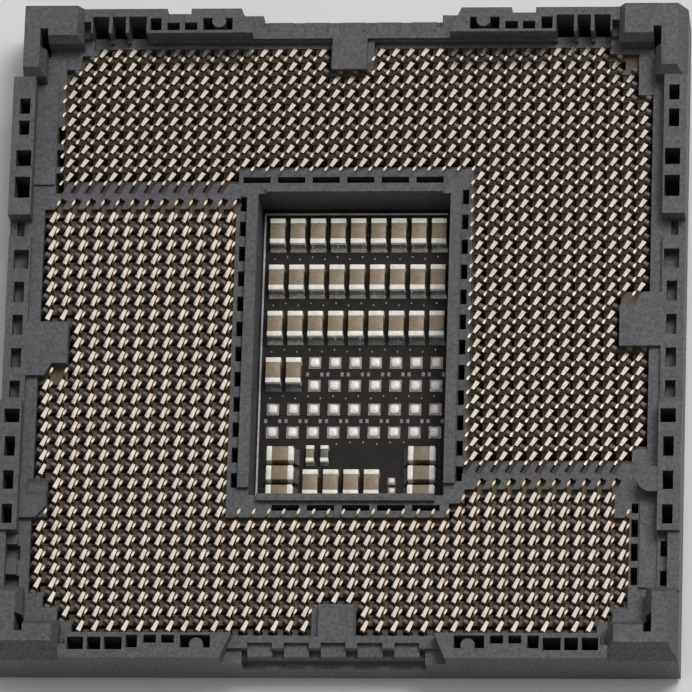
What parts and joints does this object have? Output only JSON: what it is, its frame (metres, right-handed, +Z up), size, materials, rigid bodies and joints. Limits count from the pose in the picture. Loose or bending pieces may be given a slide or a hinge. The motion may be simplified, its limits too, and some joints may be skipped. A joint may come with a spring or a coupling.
{
  "type": "cpu socket",
  "caption": "Square land-grid processor socket: moulded frame, two L-shaped banks of sprung contacts, and an open window over the board's capacitors.",
  "frame": {"origin": "centre of the footprint on the board plane", "axes": "+Z up off the board, +X to the right and +Y to the back as the picture shows the socket"},
  "size_m": [0.042, 0.0424, 0.0051],
  "materials": {
    "housing_plastic": "fine matt moulding",
    "contact_metal": "pale gold plating, satin",
    "solder": "bright solder",
    "board": "glossy black solder mask",
    "ceramic": "smooth tan ceramic",
    "tin": "tinned, satin"
  },
  "bodies": {
    "socket": {"contact_floor": "housing_plastic", "seat_deck": "housing_plastic", "back_wall": "housing_plastic", "front_wall": "housing_plastic", "left_wall": "housing_plastic", "right_wall": "housing_plastic", "package_keys": "housing_plastic", "upper_tails_1": "solder", "upper_tails_2": "solder", "upper_tails_3": "solder", "upper_tails_4": "solder", "upper_tails_5": "solder", "upper_tails_6": "solder", "lower_tails_1": "solder", "lower_tails_2": "solder", "lower_tails_3": "solder", "lower_tails_4": "solder", "lower_tails_5": "solder", "lower_tails_6": "solder", "window_board": "board", "capacitor_bodies": "ceramic", "capacitor_ends": "tin", "small_capacitor_bodies": "ceramic", "small_capacitor_ends": "tin", "tinned_lands": "tin"},
    "upper_bank": {"upper_contacts_1": "contact_metal", "upper_contacts_2": "contact_metal", "upper_contacts_3": "contact_metal", "upper_contacts_4": "contact_metal", "upper_contacts_5": "contact_metal", "upper_contacts_6": "contact_metal"},
    "lower_bank": {"lower_contacts_1": "contact_metal", "lower_contacts_2": "contact_metal", "lower_contacts_3": "contact_metal", "lower_contacts_4": "contact_metal", "lower_contacts_5": "contact_metal", "lower_contacts_6": "contact_metal"}
  },
  "joints": [
    {"name": "upper_bank_travel", "type": "slide", "parent": "socket", "child": "upper_bank", "axis": [0, 0, 1], "range_m": [-0.00035, 0], "stiffness_N_per_m": 250000},
    {"name": "lower_bank_travel", "type": "slide", "parent": "socket", "child": "lower_bank", "axis": [0, 0, 1], "range_m": [-0.00035, 0], "stiffness_N_per_m": 250000}
  ]
}
